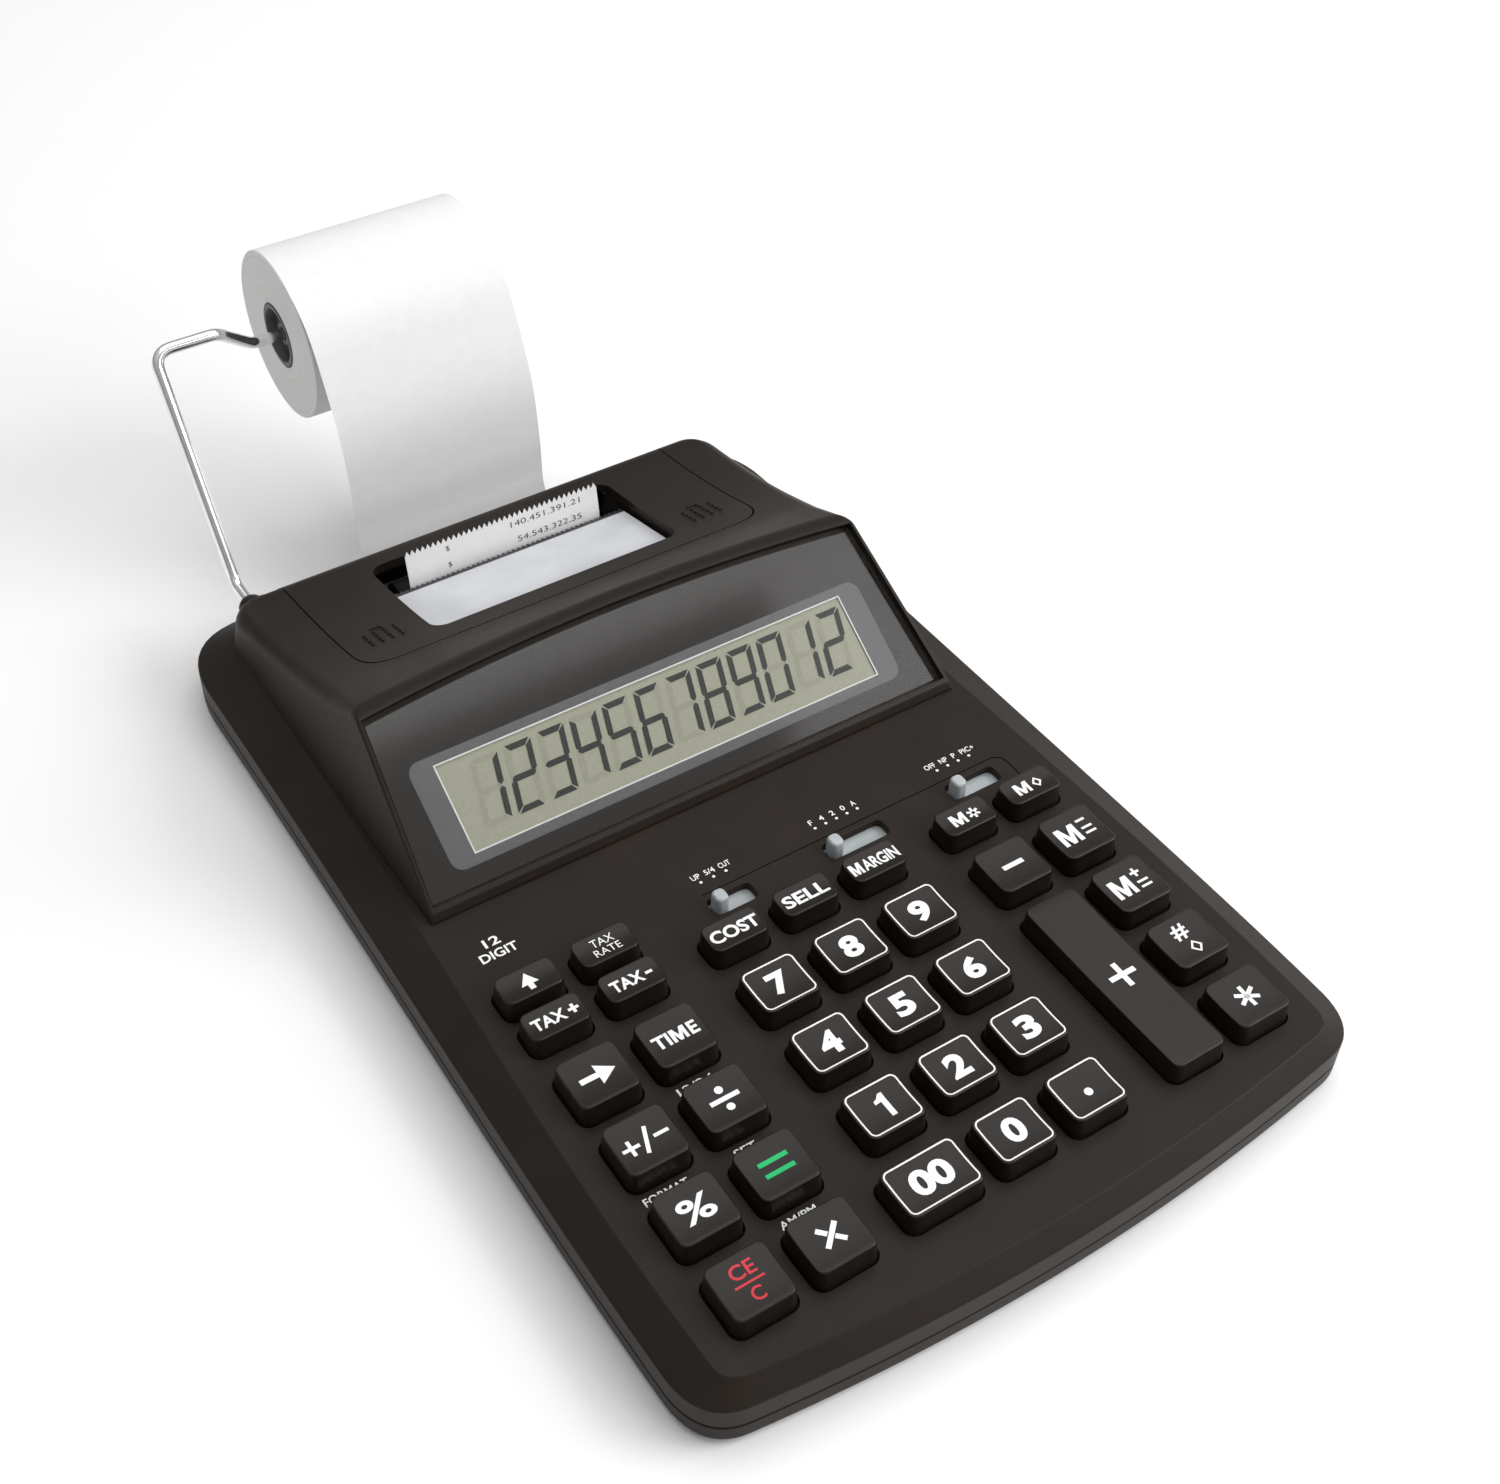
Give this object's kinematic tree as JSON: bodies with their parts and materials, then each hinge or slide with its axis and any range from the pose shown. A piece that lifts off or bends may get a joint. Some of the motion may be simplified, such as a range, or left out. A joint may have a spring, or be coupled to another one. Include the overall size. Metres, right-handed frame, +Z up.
{
  "type": "desk calculator",
  "caption": "Desk-top printing calculator: wedge-shaped two-shell case, sloping display, full keypad, slide switches, small printer and a paper roll on a bent-wire arm.",
  "frame": {"origin": "on the surface it stands on, below the centre of the bounding box of the calculator with its arm and paper roll", "axes": "+X to the user's right, +Y from the user towards the paper roll at the back, +Z up"},
  "size_m": [0.175, 0.3324, 0.0852],
  "materials": {
    "case_plastic": "fine-grained matte, warm near-black",
    "key_plastic": "smooth satin, warm near-black, printed legends",
    "switch_plastic": "light grey satin",
    "smoke_lens": "clear smoked acrylic, glossy",
    "display_glass": "grey-green liquid crystal panel",
    "foot_rubber": "black rubber",
    "circuit_board": "green solder mask",
    "silicone": "translucent silicone",
    "steel": "plain bright steel",
    "roller_rubber": "black rubber, taken as one material with its shaft",
    "ink_felt": "inked foam, taken as one material with its shaft",
    "black_plastic": "black",
    "silver_plate": "silver-white, satin",
    "paper": "plain white printing paper",
    "hub_plastic": "dark grey",
    "chrome_wire": "bright chromed wire"
  },
  "bodies": {
    "case": {"top_case": "case_plastic", "bottom_case": "case_plastic", "front_foot": "foot_rubber", "rear_foot": "foot_rubber", "display_lens": "smoke_lens", "lcd_panel": "display_glass", "main_pcb": "circuit_board", "key_mat": "silicone", "printer_frame": "steel", "drive_motor": "steel", "tear_plate": "silver_plate", "paper_web": "paper", "paper_arm": "chrome_wire", "dc_jack": "black_plastic"},
    "printer_cover": {"printer_cover": "case_plastic"},
    "key_shift": {"key_shift": "key_plastic"},
    "key_tax_rate": {"key_tax_rate": "key_plastic"},
    "key_tax_plus": {"key_tax_plus": "key_plastic"},
    "key_tax_minus": {"key_tax_minus": "key_plastic"},
    "key_cost": {"key_cost": "key_plastic"},
    "key_sell": {"key_sell": "key_plastic"},
    "key_margin": {"key_margin": "key_plastic"},
    "key_memory_total": {"key_memory_total": "key_plastic"},
    "key_memory_subtotal": {"key_memory_subtotal": "key_plastic"},
    "key_backspace": {"key_backspace": "key_plastic"},
    "key_time": {"key_time": "key_plastic"},
    "key_sign": {"key_sign": "key_plastic"},
    "key_divide": {"key_divide": "key_plastic"},
    "key_percent": {"key_percent": "key_plastic"},
    "key_equals": {"key_equals": "key_plastic"},
    "key_clear": {"key_clear": "key_plastic"},
    "key_multiply": {"key_multiply": "key_plastic"},
    "key_7": {"key_7": "key_plastic"},
    "key_8": {"key_8": "key_plastic"},
    "key_9": {"key_9": "key_plastic"},
    "key_4": {"key_4": "key_plastic"},
    "key_5": {"key_5": "key_plastic"},
    "key_6": {"key_6": "key_plastic"},
    "key_1": {"key_1": "key_plastic"},
    "key_2": {"key_2": "key_plastic"},
    "key_3": {"key_3": "key_plastic"},
    "key_00": {"key_00": "key_plastic"},
    "key_0": {"key_0": "key_plastic"},
    "key_point": {"key_point": "key_plastic"},
    "key_minus": {"key_minus": "key_plastic"},
    "key_memory_minus": {"key_memory_minus": "key_plastic"},
    "key_plus": {"key_plus": "key_plastic"},
    "key_memory_plus": {"key_memory_plus": "key_plastic"},
    "key_subtotal": {"key_subtotal": "key_plastic"},
    "key_total": {"key_total": "key_plastic"},
    "rounding_switch": {"rounding_switch": "switch_plastic"},
    "decimal_switch": {"decimal_switch": "switch_plastic"},
    "print_switch": {"print_switch": "switch_plastic"},
    "paper_roll": {"paper_roll": "paper", "roll_core": "hub_plastic"},
    "platen": {"platen_roller": "roller_rubber"},
    "motor_pinion": {"motor_pinion": "steel"},
    "ink_roller": {"ink_roller": "ink_felt"},
    "print_carriage": {"print_carriage": "black_plastic"}
  },
  "joints": [
    {"name": "rounding_switch_slide", "type": "slide", "parent": "case", "child": "rounding_switch", "axis": [1, 0, 0], "range_m": [0, 0.007]},
    {"name": "decimal_switch_slide", "type": "slide", "parent": "case", "child": "decimal_switch", "axis": [1, 0, 0], "range_m": [0, 0.0124]},
    {"name": "print_switch_slide", "type": "slide", "parent": "case", "child": "print_switch", "axis": [1, 0, 0], "range_m": [0, 0.0098]},
    {"name": "cover_lift", "type": "slide", "parent": "case", "child": "printer_cover", "axis": [0, 0, 1], "range_m": [0, 0.03]},
    {"name": "roll_spin", "type": "hinge", "parent": "case", "child": "paper_roll", "pos_m": [0, 0.14315, 0.0622], "axis": [1, 0, 0], "continuous": true},
    {"name": "platen_spin", "type": "hinge", "parent": "case", "child": "platen", "pos_m": [0, 0.07935, 0.0156], "axis": [1, 0, 0], "continuous": true},
    {"name": "pinion_spin", "type": "hinge", "parent": "case", "child": "motor_pinion", "pos_m": [0, 0.06885, 0.0135], "axis": [1, 0, 0], "continuous": true},
    {"name": "ink_roller_spin", "type": "hinge", "parent": "case", "child": "ink_roller", "pos_m": [0, 0.06235, 0.022], "axis": [1, 0, 0], "continuous": true},
    {"name": "carriage_slide", "type": "slide", "parent": "case", "child": "print_carriage", "axis": [1, 0, 0], "range_m": [0, 0.04]},
    {"name": "key_shift_press", "type": "slide", "parent": "case", "child": "key_shift", "axis": [0, 0, -1], "range_m": [0, 0.0022], "stiffness_N_per_m": 200, "springref_m": -0.001},
    {"name": "key_tax_rate_press", "type": "slide", "parent": "case", "child": "key_tax_rate", "axis": [0, 0, -1], "range_m": [0, 0.0022], "stiffness_N_per_m": 200, "springref_m": -0.001},
    {"name": "key_tax_plus_press", "type": "slide", "parent": "case", "child": "key_tax_plus", "axis": [0, 0, -1], "range_m": [0, 0.0022], "stiffness_N_per_m": 200, "springref_m": -0.001},
    {"name": "key_tax_minus_press", "type": "slide", "parent": "case", "child": "key_tax_minus", "axis": [0, 0, -1], "range_m": [0, 0.0022], "stiffness_N_per_m": 200, "springref_m": -0.001},
    {"name": "key_cost_press", "type": "slide", "parent": "case", "child": "key_cost", "axis": [0, 0, -1], "range_m": [0, 0.0022], "stiffness_N_per_m": 200, "springref_m": -0.001},
    {"name": "key_sell_press", "type": "slide", "parent": "case", "child": "key_sell", "axis": [0, 0, -1], "range_m": [0, 0.0022], "stiffness_N_per_m": 200, "springref_m": -0.001},
    {"name": "key_margin_press", "type": "slide", "parent": "case", "child": "key_margin", "axis": [0, 0, -1], "range_m": [0, 0.0022], "stiffness_N_per_m": 200, "springref_m": -0.001},
    {"name": "key_memory_total_press", "type": "slide", "parent": "case", "child": "key_memory_total", "axis": [0, 0, -1], "range_m": [0, 0.0022], "stiffness_N_per_m": 200, "springref_m": -0.001},
    {"name": "key_memory_subtotal_press", "type": "slide", "parent": "case", "child": "key_memory_subtotal", "axis": [0, 0, -1], "range_m": [0, 0.0022], "stiffness_N_per_m": 200, "springref_m": -0.001},
    {"name": "key_backspace_press", "type": "slide", "parent": "case", "child": "key_backspace", "axis": [0, 0, -1], "range_m": [0, 0.0022], "stiffness_N_per_m": 200, "springref_m": -0.001},
    {"name": "key_time_press", "type": "slide", "parent": "case", "child": "key_time", "axis": [0, 0, -1], "range_m": [0, 0.0022], "stiffness_N_per_m": 200, "springref_m": -0.001},
    {"name": "key_sign_press", "type": "slide", "parent": "case", "child": "key_sign", "axis": [0, 0, -1], "range_m": [0, 0.0022], "stiffness_N_per_m": 200, "springref_m": -0.001},
    {"name": "key_divide_press", "type": "slide", "parent": "case", "child": "key_divide", "axis": [0, 0, -1], "range_m": [0, 0.0022], "stiffness_N_per_m": 200, "springref_m": -0.001},
    {"name": "key_percent_press", "type": "slide", "parent": "case", "child": "key_percent", "axis": [0, 0, -1], "range_m": [0, 0.0022], "stiffness_N_per_m": 200, "springref_m": -0.001},
    {"name": "key_equals_press", "type": "slide", "parent": "case", "child": "key_equals", "axis": [0, 0, -1], "range_m": [0, 0.0022], "stiffness_N_per_m": 200, "springref_m": -0.001},
    {"name": "key_clear_press", "type": "slide", "parent": "case", "child": "key_clear", "axis": [0, 0, -1], "range_m": [0, 0.0022], "stiffness_N_per_m": 200, "springref_m": -0.001},
    {"name": "key_multiply_press", "type": "slide", "parent": "case", "child": "key_multiply", "axis": [0, 0, -1], "range_m": [0, 0.0022], "stiffness_N_per_m": 200, "springref_m": -0.001},
    {"name": "key_7_press", "type": "slide", "parent": "case", "child": "key_7", "axis": [0, 0, -1], "range_m": [0, 0.0022], "stiffness_N_per_m": 200, "springref_m": -0.001},
    {"name": "key_8_press", "type": "slide", "parent": "case", "child": "key_8", "axis": [0, 0, -1], "range_m": [0, 0.0022], "stiffness_N_per_m": 200, "springref_m": -0.001},
    {"name": "key_9_press", "type": "slide", "parent": "case", "child": "key_9", "axis": [0, 0, -1], "range_m": [0, 0.0022], "stiffness_N_per_m": 200, "springref_m": -0.001},
    {"name": "key_4_press", "type": "slide", "parent": "case", "child": "key_4", "axis": [0, 0, -1], "range_m": [0, 0.0022], "stiffness_N_per_m": 200, "springref_m": -0.001},
    {"name": "key_5_press", "type": "slide", "parent": "case", "child": "key_5", "axis": [0, 0, -1], "range_m": [0, 0.0022], "stiffness_N_per_m": 200, "springref_m": -0.001},
    {"name": "key_6_press", "type": "slide", "parent": "case", "child": "key_6", "axis": [0, 0, -1], "range_m": [0, 0.0022], "stiffness_N_per_m": 200, "springref_m": -0.001},
    {"name": "key_1_press", "type": "slide", "parent": "case", "child": "key_1", "axis": [0, 0, -1], "range_m": [0, 0.0022], "stiffness_N_per_m": 200, "springref_m": -0.001},
    {"name": "key_2_press", "type": "slide", "parent": "case", "child": "key_2", "axis": [0, 0, -1], "range_m": [0, 0.0022], "stiffness_N_per_m": 200, "springref_m": -0.001},
    {"name": "key_3_press", "type": "slide", "parent": "case", "child": "key_3", "axis": [0, 0, -1], "range_m": [0, 0.0022], "stiffness_N_per_m": 200, "springref_m": -0.001},
    {"name": "key_00_press", "type": "slide", "parent": "case", "child": "key_00", "axis": [0, 0, -1], "range_m": [0, 0.0022], "stiffness_N_per_m": 200, "springref_m": -0.001},
    {"name": "key_0_press", "type": "slide", "parent": "case", "child": "key_0", "axis": [0, 0, -1], "range_m": [0, 0.0022], "stiffness_N_per_m": 200, "springref_m": -0.001},
    {"name": "key_point_press", "type": "slide", "parent": "case", "child": "key_point", "axis": [0, 0, -1], "range_m": [0, 0.0022], "stiffness_N_per_m": 200, "springref_m": -0.001},
    {"name": "key_minus_press", "type": "slide", "parent": "case", "child": "key_minus", "axis": [0, 0, -1], "range_m": [0, 0.0022], "stiffness_N_per_m": 200, "springref_m": -0.001},
    {"name": "key_memory_minus_press", "type": "slide", "parent": "case", "child": "key_memory_minus", "axis": [0, 0, -1], "range_m": [0, 0.0022], "stiffness_N_per_m": 200, "springref_m": -0.001},
    {"name": "key_plus_press", "type": "slide", "parent": "case", "child": "key_plus", "axis": [0, 0, -1], "range_m": [0, 0.0022], "stiffness_N_per_m": 200, "springref_m": -0.001},
    {"name": "key_memory_plus_press", "type": "slide", "parent": "case", "child": "key_memory_plus", "axis": [0, 0, -1], "range_m": [0, 0.0022], "stiffness_N_per_m": 200, "springref_m": -0.001},
    {"name": "key_subtotal_press", "type": "slide", "parent": "case", "child": "key_subtotal", "axis": [0, 0, -1], "range_m": [0, 0.0022], "stiffness_N_per_m": 200, "springref_m": -0.001},
    {"name": "key_total_press", "type": "slide", "parent": "case", "child": "key_total", "axis": [0, 0, -1], "range_m": [0, 0.0022], "stiffness_N_per_m": 200, "springref_m": -0.001}
  ],
  "couplings": [
    {"joint": "pinion_spin", "follows": "platen_spin", "ratio": -3}
  ]
}
